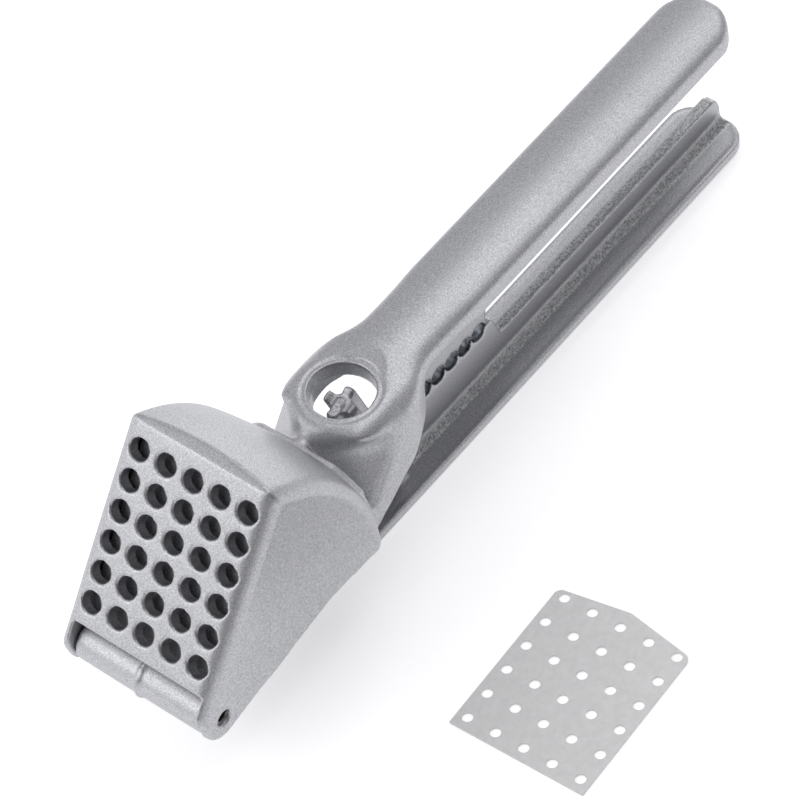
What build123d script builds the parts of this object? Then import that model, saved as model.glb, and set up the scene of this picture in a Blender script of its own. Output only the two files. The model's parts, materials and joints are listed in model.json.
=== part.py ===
from build123d import *
import math
import os

os.makedirs("parts", exist_ok=True)

# Garlic press, millimetres, +Z up, handles along +X, hinge axis along Y.
# Shapes are drawn about the hinge axis, then moved so the origin is on the table.

# where the hinge stands over the table face
HINGE_X = -80.0
HINGE_Z = 15.0

# hinge
PIN_R = 1.6
PIN_WALL = 0.5
PIN_SUNK = 1.0
PIN_SLOT = 0.5
PIN_FIT = 0.06
BARREL_R = 4.3
SEAM_R = 4.55
SEAM_W = 0.6
EAR_R = 4.6
EAR_GAP = 0.3
EAR_THICK = 2.1

# chamber of the upper lever
FACE_DEG = 52.6
FACE_OUT = 6.97
FACE_WALL = 3.0
FACE_START = 4.6
HEAD_HALF = 16.6
SIDE_WALL = 1.6
BACK_R = 45.0
BACK_WALL = 1.8
SIDE_ROUND = 3.2
BACK_CROWN = 1.6
BACK_PROUD = 0.05
BROW_DEEP = 0.3
BROW_RUN = 2.6

# juice holes
HOLE_COLS = 5
HOLE_ROWS = 6
HOLE_PITCH = 6.0
HOLE_R = 2.1
HOLE_FIRST = 9.4

# neck and pitting ring: lengths are counted from the chamber's back, and each
# point of the neck's plan is a length and a half width
NECK_TOP = 18.4
NECK_LOW = -1.2
NECK_LONG = 26.0
NECK_WALL = 1.9
HOLLOW_FRONT = 3.8
HOLLOW_SHOULDER = (12.0, 8.6)
HOLLOW_WIDE_FROM = 13.6
DIMPLE_WALL = 1.6
DIMPLE_LIP = 2.2
DIMPLE_DEEP = 4.4
DIMPLE_FACING = (-0.56, -0.70, 0.44)
NECK_FRONT = [(-12.0, 15.0), (-7.0, 14.6), (-2.0, 13.4), (2.0, 12.6)]
NECK_TAPER = [(15.0, 12.4), (18.0, 11.5), (20.5, 10.2), (23.0, 8.8)]
RING_OUT = 11.4
RING_TOP = 20.0
RING_R = 10.4
RING_THICK = 4.0
RING_HOLE_R = 6.2
RING_ROUND = 1.8

# upper handle
UP_HALF = 7.8
UP_CROWN = 21.0
UP_SHOULDER = 19.4
UP_SKIRT = 15.5
UP_PLATE = 2.8
UP_SIDE = 2.2
UP_ROUND = 1.9
UP_START = 8.0
UP_END = 166.6
UP_TIP_R = 6.6

# webs, jaws and ribs
WEB_HALF = 1.25
JAW_GAP = 0.2
JAW_START = 2.9
JAW_PITCH = 3.95
JAW_COUNT = 5
JAW_R = 1.85
JAW_DEEP = 1.75
UP_JAW_PAST = 0.4
LOW_JAW_PAST = 2.4
UP_RIB_Z = 12.5
UP_RIB_TO = 158.0
LOW_RIB_TOP = -5.4
LOW_RIB_TO = 166.7

# lower lever
LOW_HALF = 7.8
LOW_BASE = -15.0
LOW_FLANGE_TOP = -12.4
LOW_RIM = 0.9
LOW_RIM_RISE = 0.15
LOW_END = 167.4
LOW_TIP_R = 5.6
LOW_ROUND = 0.9
FLANGE_UNDER = 8.0

# plunger wedge
PLUNGER_GAP = 0.5
PLUNGER_FACE_GAP = 1.0
PLUNGER_WALL = 2.6
PLUNGER_BASE = -2.4

# pitting pin
PIT_SPAN = 7.0
PIT_BAR = 2.1
PIT_CORE_R = 1.9
PIT_TILT_DEG = 17.0
PIT_AHEAD = 1.1
PIT_SUNK = 2.1
PIT_DISH = 1.2
PIT_BOSS_R = 0.95
PIT_ROOM = 0.8

# loose sieve plate
PLATE_W = 28.3
PLATE_SIDE = 33.6
PLATE_MID = 36.0
PLATE_T = 0.5
PLATE_HOLE_R = 1.03
PLATE_MARGIN = 2.5
PLATE_ROUND = 1.5
PLATE_X = 46.4
PLATE_Y = -55.3
PLATE_TURN_DEG = 2.3

# sizes that follow from the ones above
FACE_C = math.cos(math.radians(FACE_DEG))
FACE_S = math.sin(math.radians(FACE_DEG))
INNER_EAR = HEAD_HALF - EAR_THICK
BARREL_HALF = INNER_EAR - EAR_GAP
PIN_HALF = HEAD_HALF - PIN_SUNK
NECK_END = BACK_R + NECK_LONG
RING_X = BACK_R + RING_OUT
UP_FROM = NECK_END - UP_START
JAW_FROM = NECK_END + JAW_START
JAW_END = JAW_FROM + JAW_COUNT * JAW_PITCH
FLANGE_FROM = BACK_R - FLANGE_UNDER
PIT_X = RING_X - PIT_AHEAD
PIT_TOP = RING_TOP - PIT_SUNK


def on_face(e, d):
    return (e * FACE_C - d * FACE_S, e * FACE_S + d * FACE_C)


def side_solid(points, half):
    flat = Plane.XZ * make_face(Polyline(*points, close=True))
    return extrude(flat, half, both=True)


def plan_solid(points, low, high):
    flat = Plane.XY.offset(low) * make_face(Polyline(*points, close=True))
    return extrude(flat, high - low)


def past_back(points):
    return [(BACK_R + along, other) for along, other in points]


def both_sides(half):
    return [(x, -y) for x, y in half] + [(x, y) for x, y in reversed(half)]


def across(radius, half, x=0.0, z=0.0):
    return Pos(x, 0, z) * (Rot(90, 0, 0) * Cylinder(radius, 2 * half))


def wedge(radius, face_d, half, low):
    top = math.sqrt(radius * radius - face_d * face_d)
    start = on_face(top, face_d)
    end = (math.sqrt(radius * radius - low * low), low)
    a = math.atan2(start[1], start[0])
    b = math.atan2(end[1], end[0])
    mid = (radius * math.cos((a + b) / 2), radius * math.sin((a + b) / 2))
    line = Line(on_face(0, face_d), start)
    bow = ThreePointArc(start, mid, end)
    base = Polyline(end, (on_face(0, face_d)[0], low), on_face(0, face_d))
    return extrude(Plane.XZ * make_face(line + bow + base), half, both=True)


# upper lever

def head_block():
    body = wedge(BACK_R + BACK_CROWN, FACE_OUT, HEAD_HALF, NECK_LOW)
    lower = [
        (-6.0, 0.0),
        (-6.0, -9.0),
        (BACK_R + 15.0, -9.0),
        (BACK_R + 15.0, NECK_LOW),
        (BACK_R - 5.0, 0.6),
        (30.0, 1.2),
        (20.0, -0.4),
        (13.0, -2.0),
        (4.0, -3.4),
        (0.0, 0.0),
    ]
    body -= side_solid(lower, 30)
    front = [
        on_face(FACE_START - 1.0, FACE_OUT + 1.0),
        on_face(FACE_START - 9.0, FACE_OUT + 1.0),
        (-9.0, -6.0),
        (0.0, -6.0),
        (0.0, 0.0),
        on_face(0.0, EAR_R),
    ]
    body -= side_solid(front, 30)
    return body


def face_rounding():
    place = Plane(origin=(0, 0, 0), x_dir=(0, 1, 0), z_dir=(FACE_C, 0, FACE_S))
    deep = 70.0
    flat = Pos(0, FACE_OUT - deep / 2) * Rectangle(2 * HEAD_HALF, deep)
    flat = fillet(flat.vertices().sort_by(Axis.Y)[-2:], SIDE_ROUND)
    return extrude(place * flat, 90, both=True)


def back_rounding():
    # the back bulges a little across its width, like a shallow barrel, and is drawn
    # a hair wider than the head so that the two never share a flat face
    half = HEAD_HALF + BACK_PROUD
    corner = (BACK_R, half)
    crest = ThreePointArc(corner, (BACK_R + BACK_CROWN, 0), (BACK_R, -half))
    base = Polyline((BACK_R, -half), (0, -half), (0, half), corner)
    flat = make_face(crest + base)
    flat = fillet(flat.vertices().sort_by(Axis.X)[-2:], SIDE_ROUND)
    return revolve(flat, axis=Axis.Y)


def rounded_head():
    body = head_block() & face_rounding()
    body &= back_rounding()
    ear = [
        (0.0, -EAR_R),
        (13.0, -2.0),
        (20.0, -0.4),
        (20.0, 8.0),
        on_face(6.0, FACE_OUT),
        on_face(1.2, FACE_OUT),
        on_face(-0.6, FACE_OUT - 0.7),
        on_face(-2.0, FACE_OUT - 2.2),
        (-EAR_R, -0.2),
        (-3.3, -3.3),
    ]
    body += side_solid(ear, HEAD_HALF) & face_rounding()
    body += across(EAR_R, HEAD_HALF)
    return body


def brow():
    # the long bevel along the top edge of the sieve face
    top = math.sqrt(BACK_R * BACK_R - FACE_OUT * FACE_OUT) - BROW_DEEP
    points = [
        on_face(top, FACE_OUT),
        on_face(top + BROW_RUN, FACE_OUT - BROW_RUN * 0.62),
        on_face(top + 9.0, FACE_OUT),
        on_face(top + 9.0, FACE_OUT + 4.0),
        on_face(top, FACE_OUT + 4.0),
    ]
    return side_solid(points, 30)


def neck_plan():
    return both_sides(past_back(NECK_FRONT + NECK_TAPER) + [(NECK_END, UP_HALF)])


def across_section(slope, x_from, x_to):
    both = slope + [(-y, z) for y, z in reversed(slope)]
    start = Plane(origin=(x_from, 0, 0), x_dir=(0, 1, 0), z_dir=(1, 0, 0))
    return extrude(start * make_face(Polyline(*both, close=True)), x_to - x_from)


def hollow_plan(grow):
    # the room for the pitting pin, then the inside of the neck's walls
    nose = RING_OUT - PIT_AHEAD - PIT_SPAN / 2 - PIT_ROOM
    along, wide = HOLLOW_SHOULDER
    half = past_back([(nose - grow, HOLLOW_FRONT + grow), (along - grow, wide + grow)])
    widest = NECK_TAPER[0][1]
    for along, wide in [(HOLLOW_WIDE_FROM, widest)] + NECK_TAPER:
        half.append((BACK_R + along, wide - NECK_WALL + grow))
    half.append((NECK_END + 1.8, UP_HALF - UP_SIDE + grow))
    return both_sides(half)


def dimple():
    # three-cornered hollow between the back of the chamber and the ring, near side:
    # behind a thin lip, one slope falls towards the chamber and the middle
    outline = [
        (DIMPLE_LIP - 3.4, 19.6),
        (DIMPLE_LIP, 3.6),
        (DIMPLE_LIP + 0.6, 3.0),
        (14.0, 3.0),
        (14.0, 17.4),
        (7.0, 17.4),
        (2.9, 19.6),
    ]
    slope = Plane(origin=(BACK_R + 3.0, -DIMPLE_DEEP, 17.0), z_dir=DIMPLE_FACING)
    bowl = slope * (Pos(0, 0, 20.0) * Box(60.0, 60.0, 40.0))
    bowl &= side_solid(past_back(outline), 20)
    return bowl - plan_solid(hollow_plan(DIMPLE_WALL), -10, 30)


def neck():
    profile = [
        (-12.0, 2.0),
        (-4.0, 0.7),
        (0.0, -2.6),
        (3.5, -1.0),
        (7.8, 1.3),
        (11.5, 3.0),
        (15.0, 5.0),
        (17.5, 6.6),
        (20.0, 7.8),
        (22.0, 9.0),
        (23.4, 11.4),
        (24.2, 14.0),
        (NECK_LONG, UP_SKIRT),
        (NECK_LONG, UP_SHOULDER),
        (15.0, RING_TOP),
        (4.0, RING_TOP),
        (1.4, NECK_TOP),
        (-11.0, NECK_TOP),
    ]
    body = side_solid(past_back(profile), 20) & plan_solid(neck_plan(), -20, 30)
    front = [(13.6, -6.0), (13.6, 12.2), (11.0, 15.8), (8.8, 18.0), (6.5, NECK_TOP + 0.6)]
    rear = [(12.4, -6.0), (12.4, 11.0), (12.0, 15.0), (11.2, 17.4), (9.8, 19.0), (7.8, RING_TOP + 0.1)]
    step = BACK_R + 4.0
    body &= across_section(front, BACK_R - 15.0, step) + across_section(rear, step, NECK_END + 9.0)
    return body - dimple() - mirror(dimple(), about=Plane.XZ)


def neck_hollow():
    under = plan_solid(hollow_plan(0), -14.0, RING_TOP - RING_THICK)
    front = Pos(BACK_R + 7.2, 0, -5.5) * Box(11.6, 20.0, 17.0)
    return under + front - across(BACK_R + BACK_CROWN, 30)


def ring():
    boss = Pos(RING_X, 0, RING_TOP - RING_THICK / 2) * Cylinder(RING_R, RING_THICK)
    boss = fillet(boss.edges().sort_by(Axis.Z)[-1], RING_ROUND)
    return boss


def handle_section():
    crown = ThreePointArc((-UP_HALF, UP_SHOULDER), (0, UP_CROWN), (UP_HALF, UP_SHOULDER))
    inner = UP_CROWN - UP_PLATE
    run = Polyline(
        (UP_HALF, UP_SHOULDER),
        (UP_HALF, UP_SKIRT),
        (UP_HALF - UP_SIDE, UP_SKIRT),
        (UP_HALF - UP_SIDE - 1.0, inner - 0.6),
        (0, inner),
        (-UP_HALF + UP_SIDE + 1.0, inner - 0.6),
        (-UP_HALF + UP_SIDE, UP_SKIRT),
        (-UP_HALF, UP_SKIRT),
        (-UP_HALF, UP_SHOULDER),
    )
    return make_face(crown + run)


def upper_handle():
    start = Plane(origin=(UP_FROM, 0, 0), x_dir=(0, 1, 0), z_dir=(1, 0, 0))
    body = extrude(start * handle_section(), UP_END - UP_FROM)
    long = []
    for e in body.edges():
        c = e.center()
        if abs(abs(c.Y) - UP_HALF) < 0.01 and abs(c.Z - UP_SHOULDER) < 0.01 and e.length > 50:
            long.append(e)
    body = fillet(long, UP_ROUND)
    length = UP_END - 60.0
    tip = Pos((UP_END + 60.0) / 2, 0, 0) * Rectangle(length, 2 * UP_HALF)
    corners = tip.vertices().sort_by(Axis.X)[-2:]
    tip = fillet(corners, UP_TIP_R)
    return body & (Pos(0, 0, 5) * extrude(tip, 30))


def jaw_cut(sign, half):
    cut = None
    for k in range(JAW_COUNT):
        x = JAW_FROM + JAW_PITCH * (k + 0.5)
        z = sign * (JAW_GAP + JAW_DEEP - JAW_R)
        one = across(JAW_R, half + 1, x, z)
        cut = one if cut is None else cut + one
    return cut


def upper_web():
    start = NECK_END - 0.4
    end = JAW_END + UP_JAW_PAST
    points = [
        (start, JAW_GAP + 1.2),
        (start + 1.2, JAW_GAP),
        (end, JAW_GAP),
        (end + 0.5, 4.0),
        (end + 3.0, UP_RIB_Z),
        (UP_RIB_TO - 3.0, UP_RIB_Z),
        (UP_RIB_TO, UP_RIB_Z + 5.0),
        (UP_RIB_TO, UP_CROWN - 1.0),
        (start, UP_CROWN - 1.6),
    ]
    return side_solid(points, WEB_HALF) - jaw_cut(1, WEB_HALF)


def upper_lever():
    body = rounded_head() - brow()
    body += neck() + ring() + upper_handle()
    body -= wedge(BACK_R - BACK_WALL, FACE_OUT - FACE_WALL, HEAD_HALF - SIDE_WALL, -12.0)
    # the cavity of the wedge starts past the ears, so the ears keep their thickness
    for side in (-1, 1):
        pad = Pos(0, side * (HEAD_HALF + INNER_EAR) / 2, 0)
        body += pad * (Rot(90, 0, 0) * Cylinder(EAR_R, EAR_THICK))
    room = [
        on_face(FACE_START, 12.0),
        on_face(FACE_START, -2.0),
        (12.0, -2.0),
        (12.0, -12.0),
        (-12.0, -12.0),
        (-12.0, 8.0),
    ]
    body -= side_solid(room, INNER_EAR)
    body -= neck_hollow()
    body -= Pos(RING_X, 0, 12.0) * Cylinder(RING_HOLE_R, 30)
    body += upper_web()
    for row in range(HOLE_ROWS):
        for col in range(HOLE_COLS):
            e = HOLE_FIRST + row * HOLE_PITCH
            y = (col - (HOLE_COLS - 1) / 2) * HOLE_PITCH
            at = on_face(e, FACE_OUT)
            drill = Pos(at[0], y, at[1]) * (Rot(0, -FACE_DEG, 0) * Cylinder(HOLE_R, 12))
            body -= drill
    body -= across(PIN_R, 30)
    return body


# lower lever

def plunger():
    radius = BACK_R - BACK_WALL - PLUNGER_GAP
    face_d = FACE_OUT - FACE_WALL - PLUNGER_FACE_GAP
    half = HEAD_HALF - SIDE_WALL - PLUNGER_GAP
    body = wedge(radius, face_d, half, PLUNGER_BASE)
    body -= across(8.0, 30) - across(8.0, BARREL_HALF - 0.3)
    lip = FACE_START + 0.3
    body -= side_solid([(-9, -9), (-9, 9), on_face(lip, 9), on_face(lip, face_d), (0, 0), (0, -9)], 30)
    for side in (-1, 1):
        wide = half - PLUNGER_WALL - WEB_HALF - 0.6
        inside = wedge(radius - PLUNGER_WALL, face_d - PLUNGER_WALL, wide / 2, -20.0)
        inside -= across(9.0, 30)
        body -= Pos(0, side * (WEB_HALF + 0.6 + wide / 2), 0) * inside
    return body


def barrel():
    body = across(BARREL_R, BARREL_HALF)
    body += across(SEAM_R, SEAM_W / 2)
    return body


def flange():
    length = LOW_END - FLANGE_FROM
    flat = Pos((LOW_END + FLANGE_FROM) / 2, 0) * Rectangle(length, 2 * LOW_HALF)
    flat = fillet(flat.vertices().sort_by(Axis.X)[-2:], LOW_TIP_R)
    body = Pos(0, 0, LOW_BASE) * extrude(flat, LOW_FLANGE_TOP - LOW_BASE)
    low = body.edges().filter_by(lambda e: abs(e.center().Z - LOW_BASE) < 0.01)
    low = low.filter_by(lambda e: e.center().X > FLANGE_FROM + 1)
    body = fillet(low, LOW_ROUND)
    top = Pos(0, 0, LOW_FLANGE_TOP) * offset(flat, -LOW_RIM)
    return body - extrude(top, -LOW_RIM_RISE)


def keel():
    points = [
        (2.0, -4.0),
        (9.0, -7.6),
        (20.0, -12.4),
        (30.0, -14.6),
        (FLANGE_FROM + 3, LOW_BASE),
        (FLANGE_FROM + 3, LOW_FLANGE_TOP),
        (31.0, -12.0),
        (21.0, -9.6),
        (11.0, -5.2),
        (4.0, -1.0),
    ]
    return side_solid(points, LOW_HALF)


def back_foot():
    radius = BACK_R - BACK_WALL - PLUNGER_GAP
    block = past_back([(-11.0, LOW_BASE), (-11.0, -1.0), (1.0, -1.0), (1.0, LOW_BASE)])
    body = side_solid(block, LOW_HALF)
    body &= across(radius, LOW_HALF)
    return body - across(radius - PLUNGER_WALL, 30)


def lower_web():
    end = JAW_END + LOW_JAW_PAST
    points = [
        (4.0, -5.0),
        (24.0, -12.8),
        (FLANGE_FROM + 3.0, LOW_FLANGE_TOP - 1),
        (LOW_RIB_TO, LOW_FLANGE_TOP - 1),
        (LOW_RIB_TO, LOW_RIB_TOP - 3.2),
        (LOW_RIB_TO - 0.8, LOW_RIB_TOP - 1.0),
        (LOW_RIB_TO - 2.4, LOW_RIB_TOP),
        (end + 1.6, LOW_RIB_TOP),
        (end, -JAW_GAP - 0.6),
        (end - 0.6, -JAW_GAP),
        (BACK_R + 5.0, -JAW_GAP),
        (BACK_R + 2.0, -3.2),
        (BACK_R - 5.0, -3.2),
        (30.0, 4.0),
        (12.0, 1.0),
    ]
    body = side_solid(points, WEB_HALF) - jaw_cut(-1, WEB_HALF)
    foot = [
        (-WEB_HALF - 1.5, LOW_FLANGE_TOP - 0.6),
        (-WEB_HALF - 1.1, LOW_FLANGE_TOP + 0.4),
        (-WEB_HALF, LOW_FLANGE_TOP + 1.7),
        (WEB_HALF, LOW_FLANGE_TOP + 1.7),
        (WEB_HALF + 1.1, LOW_FLANGE_TOP + 0.4),
        (WEB_HALF + 1.5, LOW_FLANGE_TOP - 0.6),
    ]
    foot_from = FLANGE_FROM + 7.0
    start = Plane(origin=(foot_from, 0, 0), x_dir=(0, 1, 0), z_dir=(1, 0, 0))
    body += extrude(start * make_face(Polyline(*foot, close=True)), LOW_RIB_TO - foot_from)
    return body


def pit_pin():
    length = 36.0
    shape = Box(PIT_SPAN, PIT_BAR, length) + Box(PIT_BAR, PIT_SPAN, length)
    shape += Cylinder(PIT_CORE_R, length)
    shape = Pos(0, 0, -length / 2) * shape
    tip = Pos(0, 0, -1.0) * Cone(PIT_SPAN / 2 + 0.6, PIT_SPAN / 2 - 0.5, 2.0)
    shape &= (Pos(0, 0, -length / 2 - 2.0) * Cylinder(PIT_SPAN, length)) + tip
    # the four arms rise to points round a dished middle with a small boss
    shape -= Pos(0, 0, -PIT_DISH / 2) * Cone(PIT_BOSS_R, PIT_SPAN / 2 - 0.6, PIT_DISH)
    shape += Pos(0, 0, -PIT_DISH) * Cylinder(PIT_BOSS_R, 2 * PIT_DISH - 0.6)
    shape = Pos(PIT_X, 0, PIT_TOP) * (Rot(0, -PIT_TILT_DEG, 0) * shape)
    return shape & (Pos(PIT_X, 0, LOW_FLANGE_TOP - 0.6 + 20.0) * Box(60, 20, 40.0))


def lower_lever():
    body = plunger() + barrel() + flange() + keel() + back_foot()
    body += lower_web() + pit_pin()
    body -= across(PIN_R + PIN_FIT, 30)
    return body


# hinge pin: a rolled spring pin with a lengthwise slot

def hinge_pin():
    body = across(PIN_R, PIN_HALF) - across(PIN_R - PIN_WALL, 30)
    body -= Pos(PIN_R, 0, 0) * Box(2 * PIN_R, 40, PIN_SLOT)
    return body


# sieve plate

def sieve_plate():
    outline = [
        (0.0, -PLATE_W / 2),
        (PLATE_SIDE, -PLATE_W / 2),
        (PLATE_MID, 0.0),
        (PLATE_SIDE, PLATE_W / 2),
        (0.0, PLATE_W / 2),
    ]
    flat = make_face(Polyline(*outline, close=True))
    shoulders = [v for v in flat.vertices() if abs(v.X - PLATE_SIDE) < 0.01]
    flat = fillet(shoulders, PLATE_ROUND)
    for row in range(HOLE_ROWS):
        for col in range(HOLE_COLS):
            x = PLATE_MARGIN + row * HOLE_PITCH
            y = (col - (HOLE_COLS - 1) / 2) * HOLE_PITCH
            flat -= Pos(x, y) * Circle(PLATE_HOLE_R)
    mid = PLATE_MARGIN + (HOLE_ROWS - 1) * HOLE_PITCH / 2
    body = Pos(-mid, 0, 0) * extrude(flat, PLATE_T)
    return Pos(PLATE_X, PLATE_Y, LOW_BASE) * (Rot(0, 0, PLATE_TURN_DEG) * body)


made = {
    "upper_lever": upper_lever(),
    "lower_lever": lower_lever(),
    "hinge_pin": hinge_pin(),
    "sieve_plate": sieve_plate(),
}
for name, shape in made.items():
    export_step(Pos(HINGE_X, 0, HINGE_Z) * shape, "parts/" + name + ".step")
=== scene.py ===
import json
import math

import bpy
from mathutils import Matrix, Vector


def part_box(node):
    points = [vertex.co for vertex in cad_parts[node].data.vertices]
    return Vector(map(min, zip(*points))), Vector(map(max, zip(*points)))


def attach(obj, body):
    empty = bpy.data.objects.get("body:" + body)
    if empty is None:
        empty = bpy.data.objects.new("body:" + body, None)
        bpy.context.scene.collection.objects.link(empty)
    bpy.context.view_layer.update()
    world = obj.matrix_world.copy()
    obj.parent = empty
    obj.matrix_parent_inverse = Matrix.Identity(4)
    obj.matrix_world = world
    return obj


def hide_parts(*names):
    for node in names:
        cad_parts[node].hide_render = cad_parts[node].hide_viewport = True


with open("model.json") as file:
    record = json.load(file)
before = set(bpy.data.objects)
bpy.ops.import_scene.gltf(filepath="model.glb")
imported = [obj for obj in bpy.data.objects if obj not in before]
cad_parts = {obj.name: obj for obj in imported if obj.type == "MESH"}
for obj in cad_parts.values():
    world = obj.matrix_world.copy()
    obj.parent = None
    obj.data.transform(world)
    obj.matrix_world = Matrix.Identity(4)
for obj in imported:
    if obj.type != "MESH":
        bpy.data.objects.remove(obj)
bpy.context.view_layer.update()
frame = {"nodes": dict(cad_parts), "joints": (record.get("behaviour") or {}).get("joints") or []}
MM = 0.001


# The table, lights and camera. The press lies on a plain white worktop, lit a little
# from below, in a light tent: a soft box overhead for the crowns of the handles, and
# a panel at each end, one for the sieve face and one for the back of the chamber.

CAMERA_PLACE = (-354.7 * MM, -348.5 * MM, 640.2 * MM)
CAMERA_TURN = (37.858, 5.578, -51.835)  # degrees
CAMERA_LENS = 198.0  # millimetres, as the camera takes it
CAMERA_SENSOR = 36.0
TABLE_SIZE = 6.0
TABLE_WHITE = "#F4F4F5"
TABLE_ROUGHNESS = 0.6
TABLE_GLOW = 0.56
TENT_WHITE = "#F1F1F4"
TENT_BRIGHT = 0.68
TENT_DIM = 0.1
TENT_OPENING = (-0.57, -0.81, 0.0)  # the side from which the tent is dimmer
TENT_DIMS_FROM = 0.15
TENT_DIMS_TO = 0.9


def linear(code):
    """A hex sRGB colour as the linear red, green, blue and alpha that sockets take."""
    shares = [int(code[i:i + 2], 16) / 255 for i in (1, 3, 5)]
    parts = [c / 12.92 if c <= 0.04045 else ((c + 0.055) / 1.055) ** 2.4 for c in shares]
    return (*parts, 1.0)


def add_node(tree, kind, settings=None, **links):
    """Adds one node to a tree. A link is a socket to read from, or a plain value."""
    node = tree.nodes.new(kind)
    for name, value in (settings or {}).items():
        setattr(node, name, value)
    for name, value in links.items():
        key = int(name[1:]) if name[0] == "_" else name.replace("_", " ")
        if isinstance(value, bpy.types.NodeSocket):
            tree.links.new(value, node.inputs[key])
        else:
            node.inputs[key].default_value = value
    return node


def new_material(name):
    """An empty node material with a Principled shader wired to its output."""
    material = bpy.data.materials.new(name)
    material.use_nodes = True
    tree = material.node_tree
    tree.nodes.clear()
    shader = add_node(tree, "ShaderNodeBsdfPrincipled")
    add_node(tree, "ShaderNodeOutputMaterial", Surface=shader.outputs["BSDF"])
    return material, tree, shader


def wire(tree, shader, **links):
    """Leads sockets to the shader's inputs, which are named as in add_node."""
    for name, socket in links.items():
        tree.links.new(socket, shader.inputs[name.replace("_", " ")])


bpy.ops.object.select_all(action="DESELECT")
bpy.ops.mesh.primitive_plane_add(size=TABLE_SIZE, location=(0, 0, 0))
table = bpy.context.object
table.name = "worktop"
laminate, tree, shader = new_material("white_laminate")
shader.inputs["Base Color"].default_value = linear(TABLE_WHITE)
shader.inputs["Roughness"].default_value = TABLE_ROUGHNESS
shader.inputs["Emission Color"].default_value = linear(TABLE_WHITE)
shader.inputs["Emission Strength"].default_value = TABLE_GLOW
table.data.materials.append(laminate)

world = bpy.data.worlds.new("light_tent")
world.use_nodes = True
tent = world.node_tree
inside = add_node(tent, "ShaderNodeTexCoord").outputs["Generated"]
open_side = add_node(tent, "ShaderNodeVectorMath", {"operation": "DOT_PRODUCT"},
                     _0=inside, _1=TENT_OPENING)
glow = add_node(tent, "ShaderNodeMapRange", None, Value=open_side.outputs["Value"],
                From_Min=TENT_DIMS_FROM, From_Max=TENT_DIMS_TO,
                To_Min=TENT_BRIGHT, To_Max=TENT_DIM)
tent.links.new(glow.outputs["Result"], tent.nodes["Background"].inputs["Strength"])
tent.nodes["Background"].inputs["Color"].default_value = linear(TENT_WHITE)
bpy.context.scene.world = world


def soft_box(name, place, target, size, power):
    """A square lamp turned to face its target, with its side in metres and power in watts."""
    lamp = bpy.data.lights.new(name, "AREA")
    lamp.shape = "SQUARE"
    lamp.size = size
    lamp.energy = power
    box = bpy.data.objects.new(name, lamp)
    bpy.context.scene.collection.objects.link(box)
    box.location = place
    aim = Vector(target) - Vector(place)
    box.rotation_euler = aim.to_track_quat("-Z", "Y").to_euler()


soft_box("soft_box_overhead", place=(0.46, 0.08, 1.0), target=(0, 0, 0), size=0.6, power=1.45)
soft_box("panel_by_the_face", place=(-0.74, 0.5, 0.56), target=(-0.05, 0, 0.02), size=0.8, power=3.0)
soft_box("panel_behind", place=(1.0, 0.4, 0.16), target=(-0.03, 0, 0.03), size=0.6, power=1.1)
bpy.context.scene.view_settings.view_transform = "Standard"

bpy.ops.object.camera_add(location=CAMERA_PLACE, rotation=[math.radians(a) for a in CAMERA_TURN])
camera = bpy.context.object
camera.data.lens = CAMERA_LENS
camera.data.sensor_width = CAMERA_SENSOR
bpy.context.scene.camera = camera


# The upper lever is one aluminium die casting: hinge ears, chamber with its sieve
# face, pitting ring and handle. It is barrel tumbled, so no corner is left sharp,
# then stove-enamelled with a silver flake lacquer.

CAST_VOXEL = 0.36 * MM
CAST_TRIANGLES = 190000
WELD_REACH = 0.002 * MM
RELAX_STEP = 0.5
CORNER_ROUNDS = 4
FAINTEST_SHARE = 0.01


def casting_from(node_name, piece_name):
    """A merged and remeshed copy of a CAD node, with its corners rubbed round."""
    mesh = frame["nodes"][node_name].data.copy()
    piece = bpy.data.objects.new(piece_name, mesh)
    bpy.context.scene.collection.objects.link(piece)
    mesh.name = piece_name
    mesh.materials.clear()
    bpy.ops.object.select_all(action="DESELECT")
    piece.select_set(True)
    bpy.context.view_layer.objects.active = piece
    bpy.ops.object.mode_set(mode="EDIT")
    bpy.ops.mesh.select_all(action="SELECT")
    bpy.ops.mesh.remove_doubles(threshold=WELD_REACH)
    bpy.ops.object.mode_set(mode="OBJECT")
    remesh = piece.modifiers.new("skin", "REMESH")
    remesh.mode = "VOXEL"
    remesh.voxel_size = CAST_VOXEL
    bpy.ops.object.modifier_apply(modifier=remesh.name)
    smooth = piece.modifiers.new("tumbled", "SMOOTH")
    smooth.factor = RELAX_STEP
    smooth.iterations = CORNER_ROUNDS
    bpy.ops.object.modifier_apply(modifier=smooth.name)
    return piece


def fade(value, low, high):
    """Rises smoothly from 0 at low to 1 at high."""
    share = min(max((value - low) / (high - low), 0.0), 1.0)
    return share * share * (3 - 2 * share)


def soften(piece, share, rounds):
    """Relaxes the skin where share(place) is above 0, as a fillet cut in the die would."""
    group = piece.vertex_groups.new(name="soft")
    for vertex in piece.data.vertices:
        weight = share(vertex.co)
        if weight > FAINTEST_SHARE:
            group.add([vertex.index], weight, "REPLACE")
    smooth = piece.modifiers.new("soft", "SMOOTH")
    smooth.factor = RELAX_STEP
    smooth.iterations = rounds
    smooth.vertex_group = group.name
    bpy.ops.object.modifier_apply(modifier=smooth.name)
    piece.vertex_groups.clear()


def thin_out(piece):
    """Joins the smallest faces until the casting is light enough to keep."""
    triangles = sum(len(face.vertices) - 2 for face in piece.data.polygons)
    if triangles > CAST_TRIANGLES:
        thin = piece.modifiers.new("thin", "DECIMATE")
        thin.ratio = CAST_TRIANGLES / triangles
        bpy.ops.object.modifier_apply(modifier=thin.name)
    bpy.ops.object.shade_smooth()


def second_material_where(piece, material, inside):
    """Gives a second material, a real finish or painted shade, to the faces of a casting whose
    middle is in a place.
    """
    piece.data.materials.append(material)
    slot = len(piece.data.materials) - 1
    for face in piece.data.polygons:
        if inside(face.center, face.normal):
            face.material_index = slot
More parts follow.
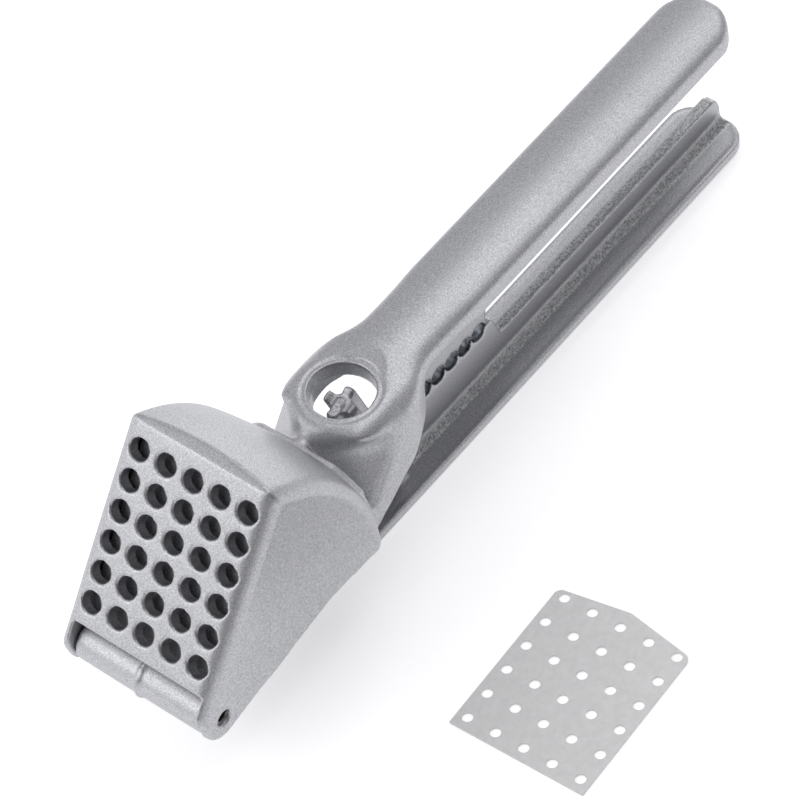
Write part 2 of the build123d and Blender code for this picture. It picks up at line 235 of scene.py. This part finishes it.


# Pattern sizes. A flake is usually under 0.05 mm across, too fine to show, so four are
# drawn to the millimetre. The clouds of thicker lacquer are drawn about 7 mm across, and
# the mottle in the painted shade of the jaw notches about 1.4 mm.

FLAKE = MM / 4
CLOUD = MM / 0.14
JAW_SHADE_MOTTLE = MM / 0.7


def silver_flake_lacquer():
    """Silver flake lacquer over a die-cast skin: an even satin metal with a fine bright grain."""
    material, tree, shader = new_material("silver_flake_lacquer_on_die_cast_aluminium")
    where = add_node(tree, "ShaderNodeTexCoord").outputs["Object"]
    flake = add_node(tree, "ShaderNodeTexNoise", None, Vector=where, Scale=1 / FLAKE,
                     Detail=2.0, Roughness=0.6)
    cloud = add_node(tree, "ShaderNodeTexNoise", None, Vector=where, Scale=1 / CLOUD, Detail=3.0)
    colour = add_node(tree, "ShaderNodeValToRGB", None, Fac=flake.outputs["Fac"])
    colour.color_ramp.elements[0].position = 0.34
    colour.color_ramp.elements[0].color = linear("#A1A2A6")
    colour.color_ramp.elements[1].position = 0.7
    colour.color_ramp.elements[1].color = linear("#D3D3D5")
    rough = add_node(tree, "ShaderNodeMapRange", None, Value=cloud.outputs["Fac"],
                     To_Min=0.37, To_Max=0.46)
    bump = add_node(tree, "ShaderNodeBump", None, Height=flake.outputs["Fac"],
                    Strength=0.3, Distance=0.04 * MM)
    wire(tree, shader, Base_Color=colour.outputs["Color"], Roughness=rough.outputs["Result"],
         Normal=bump.outputs["Normal"])
    shader.inputs["Metallic"].default_value = 0.92
    return material


def painted_jaw_shade():
    """Painted shade for the jaw notches: metal painted darker, smoother and bluish grey, for the
    shade that falls in these hollows.
    """
    material, tree, shader = new_material("painted_shade_in_the_jaw_notches")
    where = add_node(tree, "ShaderNodeTexCoord").outputs["Object"]
    shade_mottle = add_node(tree, "ShaderNodeTexNoise", None, Vector=where, Scale=1 / JAW_SHADE_MOTTLE, Detail=3.0)
    colour = add_node(tree, "ShaderNodeValToRGB", None, Fac=shade_mottle.outputs["Fac"])
    colour.color_ramp.elements[0].position = 0.36
    colour.color_ramp.elements[0].color = linear("#3C4046")
    colour.color_ramp.elements[1].position = 0.68
    colour.color_ramp.elements[1].color = linear("#8A8E94")
    bump = add_node(tree, "ShaderNodeBump", None, Height=shade_mottle.outputs["Fac"],
                    Strength=0.3, Distance=0.1 * MM)
    wire(tree, shader, Base_Color=colour.outputs["Color"], Normal=bump.outputs["Normal"])
    shader.inputs["Metallic"].default_value = 1.0
    shader.inputs["Roughness"].default_value = 0.34
    return material


HINGE = Vector(frame["joints"][0]["pos_m"])
BACK_REACH = 45 * MM
RING_PLACE = HINGE + Vector((56.4, 0, 20)) * MM
HOLE_EDGE = 6.2 * MM
LIP_OUT = 0.95 * MM
LIP_DEEP = 0.24 * MM
LIP_WIDE = 0.32 * MM
LIP_BAND = 1.5 * MM
RIM_FROM = 1 * MM
RIM_SLOPE = 0.3
HEAD_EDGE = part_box("upper_lever")[1].y
HANDLE_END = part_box("upper_lever")[1].x


def from_ring(place):
    """How far a place is from the axis of the ring's hole, seen from above."""
    return math.hypot(place.x - RING_PLACE.x, place.y - RING_PLACE.y)


def from_hinge(place):
    """How far a place is from the hinge's axis, seen from the side."""
    return math.hypot(place.x - HINGE.x, place.z - HINGE.z)


def shoulder_share(place):
    """Where the ring spreads out into the neck and the handle, on the top only."""
    top = fade(place.z, RING_PLACE.z - 9 * MM, RING_PLACE.z - 5 * MM)
    clear = fade(from_ring(place), HOLE_EDGE + 1.4 * MM, HOLE_EDGE + 3.4 * MM)
    along = fade(from_hinge(place), BACK_REACH + 2.6 * MM, BACK_REACH + 5 * MM)
    end = 1 - fade(place.x, RING_PLACE.x + 22 * MM, RING_PLACE.x + 30 * MM)
    return top * clear * along * end


def dimple_share(place):
    """The two bowls between the chamber's back and the ring, but not their front lip."""
    clear = fade(from_ring(place), HOLE_EDGE + 0.8 * MM, HOLE_EDGE + 2.4 * MM)
    start = fade(from_hinge(place), BACK_REACH + 2.4 * MM, BACK_REACH + 3.8 * MM)
    end = 1 - fade(place.x, RING_PLACE.x + 6 * MM, RING_PLACE.x + 10 * MM)
    outside = fade(abs(place.y), 2.5 * MM, 4.5 * MM)
    return clear * start * end * outside * fade(place.z, HINGE.z + 1 * MM, HINGE.z + 4 * MM)


def front_lip_share(place):
    """The thin lips between the chamber's back and the two bowls."""
    reach = from_hinge(place) - BACK_REACH
    along = fade(reach, 1.2 * MM, 1.8 * MM) * (1 - fade(reach, 3.4 * MM, 4 * MM))
    return along * fade(place.z, HINGE.z + 2 * MM, HINGE.z + 4 * MM)


def ear_share(place):
    """The outer rims of the hinge ears."""
    outside = fade(abs(place.y), HEAD_EDGE - 1.8 * MM, HEAD_EDGE - 0.5 * MM)
    return outside * (1 - fade(from_hinge(place), 8 * MM, 15 * MM))


def handle_side_share(place):
    """The long turned-down edges of the upper handle, above their rims."""
    along = fade(place.x, RING_PLACE.x + 8 * MM, RING_PLACE.x + 16 * MM)
    side = fade(abs(place.y), 3.6 * MM, 6.6 * MM)
    return along * side * fade(place.z, HINGE.z + 16.6 * MM, HINGE.z + 17.8 * MM)


def handle_end_share(place):
    """The rounded end of the upper handle."""
    return fade(place.x, HANDLE_END - 5 * MM, HANDLE_END - 1.5 * MM)


JAW_START = HINGE.x + 73.4 * MM
JAW_END = HINGE.x + 94.2 * MM
JAW_TALL = 2.3 * MM
WEB_HALF = 1.25 * MM
WEB_SPARE = 0.1 * MM
SIDEWAYS = 0.6


def in_jaw_notches(place, normal):
    """The notched faces of the jaws, which get painted shade, but not the flat sides of the web that
    carries them.
    """
    along = JAW_START < place.x < JAW_END
    across = abs(place.y) < WEB_HALF + WEB_SPARE and abs(normal.y) < SIDEWAYS
    return along and across and abs(place.z - HINGE.z) < JAW_TALL


lacquer = silver_flake_lacquer()
# A darker bluish metal, painted into the jaw notches as shade.
jaw_shade_paint = painted_jaw_shade()
upper = casting_from("upper_lever", "upper_lever_casting")
for share, rounds in (
    (shoulder_share, 140), (dimple_share, 70), (front_lip_share, 12),
    (ear_share, 40), (handle_side_share, 60), (handle_end_share, 24),
):
    soften(upper, share, rounds)
for vertex in upper.data.vertices:
    spread = from_ring(vertex.co) - HOLE_EDGE
    if abs(vertex.co.z - RING_PLACE.z) < LIP_BAND:
        level = RING_PLACE.z + RIM_SLOPE * max(spread - RIM_FROM, 0)
        groove = LIP_DEEP * math.exp(-((spread - LIP_OUT) / LIP_WIDE) ** 2)
        vertex.co.z = min(vertex.co.z, level) - groove
thin_out(upper)
upper.data.materials.append(lacquer)
# The notches of the upper jaw get painted shade: a darker bluish metal for the shade in these
# hollows.
second_material_where(upper, jaw_shade_paint, in_jaw_notches)
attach(upper, "upper")
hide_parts("upper_lever")


# The lower lever is the second casting: hinge barrel, hollow plunger, pitting pin
# and the long flanged handle with its rib and jaw. It has the same lacquer, thin and
# gritty where the die's parting line was ground off the rib's top and foot.

RIB_TOP = HINGE.z - 5.4 * MM
RIB_FROM = HINGE.x + 97.0 * MM
FLANGE_TOP = HINGE.z - 12.4 * MM
FOOT_FROM = HINGE.x + 46.0 * MM
FOOT_HALF = 3.2 * MM
FOOT_TALL = 1.3 * MM
GROUND_DOWN = 0.5 * MM
GROUND_ACROSS = 0.7 * MM
UPWARDS = 0.2
BARREL_CORE = 3.5 * MM
BARREL_EDGE = 4.5 * MM
BARREL_BACK = 2 * MM
SEAM_PROUD = 0.22 * MM
SEAM_WIDE = 0.3 * MM


# Grinding grit is usually near 0.1 mm, too fine to show, so it is drawn at 2.1 to the
# millimetre.

GRIT = MM / 2.1


def ground_strip():
    """Lacquer over ground die-cast metal: coarse grit that glints, with dark pits between."""
    material, tree, shader = new_material("thin_lacquer_on_ground_aluminium")
    where = add_node(tree, "ShaderNodeTexCoord").outputs["Object"]
    grit = add_node(tree, "ShaderNodeTexNoise", None, Vector=where, Scale=1 / GRIT,
                    Detail=4.0, Roughness=0.7)
    colour = add_node(tree, "ShaderNodeValToRGB", None, Fac=grit.outputs["Fac"])
    colour.color_ramp.elements[0].position = 0.38
    colour.color_ramp.elements[0].color = linear("#828489")
    colour.color_ramp.elements[1].position = 0.66
    colour.color_ramp.elements[1].color = linear("#CCCCCB")
    bump = add_node(tree, "ShaderNodeBump", None, Height=grit.outputs["Fac"],
                    Strength=0.6, Distance=0.1 * MM)
    wire(tree, shader, Base_Color=colour.outputs["Color"], Normal=bump.outputs["Normal"])
    shader.inputs["Metallic"].default_value = 0.9
    shader.inputs["Roughness"].default_value = 0.4
    return material


def in_ground_strip(place, normal):
    """The rib's top behind the jaw, most of the way across, and the flange along its foot."""
    on_top = place.x > RIB_FROM and place.z > RIB_TOP - GROUND_DOWN
    across = -WEB_HALF < place.y < GROUND_ACROSS
    at_foot = place.x > FOOT_FROM and abs(place.z - FLANGE_TOP) < FOOT_TALL
    beside = abs(place.y) < FOOT_HALF and normal.z > UPWARDS
    return (on_top and across) or (at_foot and beside)


lower = casting_from("lower_lever", "lower_lever_casting")
for vertex in lower.data.vertices:
    reach = from_hinge(vertex.co)
    if BARREL_CORE < reach < BARREL_EDGE and vertex.co.x < HINGE.x + BARREL_BACK:
        proud = SEAM_PROUD * math.exp(-(vertex.co.y / SEAM_WIDE) ** 2)
        vertex.co.x += (vertex.co.x - HINGE.x) / reach * proud
        vertex.co.z += (vertex.co.z - HINGE.z) / reach * proud
thin_out(lower)
lower.data.materials.append(lacquer)
# The notches of the lower jaw get the same painted shade.
second_material_where(lower, jaw_shade_paint, in_jaw_notches)
second_material_where(lower, ground_strip(), in_ground_strip)
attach(lower, "lower")
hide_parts("lower_lever")


# The hinge pin is a rolled spring pin of bright hardened steel, pressed through both
# ears of the upper lever. Its slot and bore show in the near ear. The marks of rolling
# are too fine to show, so they are drawn at 1.8 to the millimetre.

ROLLING_MARK = MM / 1.8

pin = frame["nodes"]["hinge_pin"]
pin_steel, tree, shader = new_material("bright_rolled_spring_steel")
where = add_node(tree, "ShaderNodeTexCoord").outputs["Object"]
marks = add_node(tree, "ShaderNodeTexNoise", None, Vector=where, Scale=1 / ROLLING_MARK, Detail=2.0)
colour = add_node(tree, "ShaderNodeValToRGB", None, Fac=marks.outputs["Fac"])
colour.color_ramp.elements[0].color = linear("#7C7972")
colour.color_ramp.elements[1].color = linear("#D2CEC6")
wire(tree, shader, Base_Color=colour.outputs["Color"])
shader.inputs["Metallic"].default_value = 1.0
shader.inputs["Roughness"].default_value = 0.32
pin.data.materials.clear()
pin.data.materials.append(pin_steel)


# The sieve plate is a loose piece of half-millimetre stainless sheet, punched with
# thirty small holes. It is satin rolled, and its grain, too fine to show, is drawn
# faintly at 0.9 to the millimetre.

SHEET_GRAIN = MM / 0.9

plate = frame["nodes"]["sieve_plate"]
sheet_steel, tree, shader = new_material("satin_stainless_sheet")
where = add_node(tree, "ShaderNodeTexCoord").outputs["Object"]
rolled = add_node(tree, "ShaderNodeTexNoise", None, Vector=where, Scale=1 / SHEET_GRAIN, Detail=4.0)
colour = add_node(tree, "ShaderNodeValToRGB", None, Fac=rolled.outputs["Fac"])
colour.color_ramp.elements[0].color = linear("#BABABA")
colour.color_ramp.elements[1].color = linear("#CECECE")
wire(tree, shader, Base_Color=colour.outputs["Color"])
shader.inputs["Metallic"].default_value = 1.0
shader.inputs["Roughness"].default_value = 0.38
plate.data.materials.clear()
plate.data.materials.append(sheet_steel)
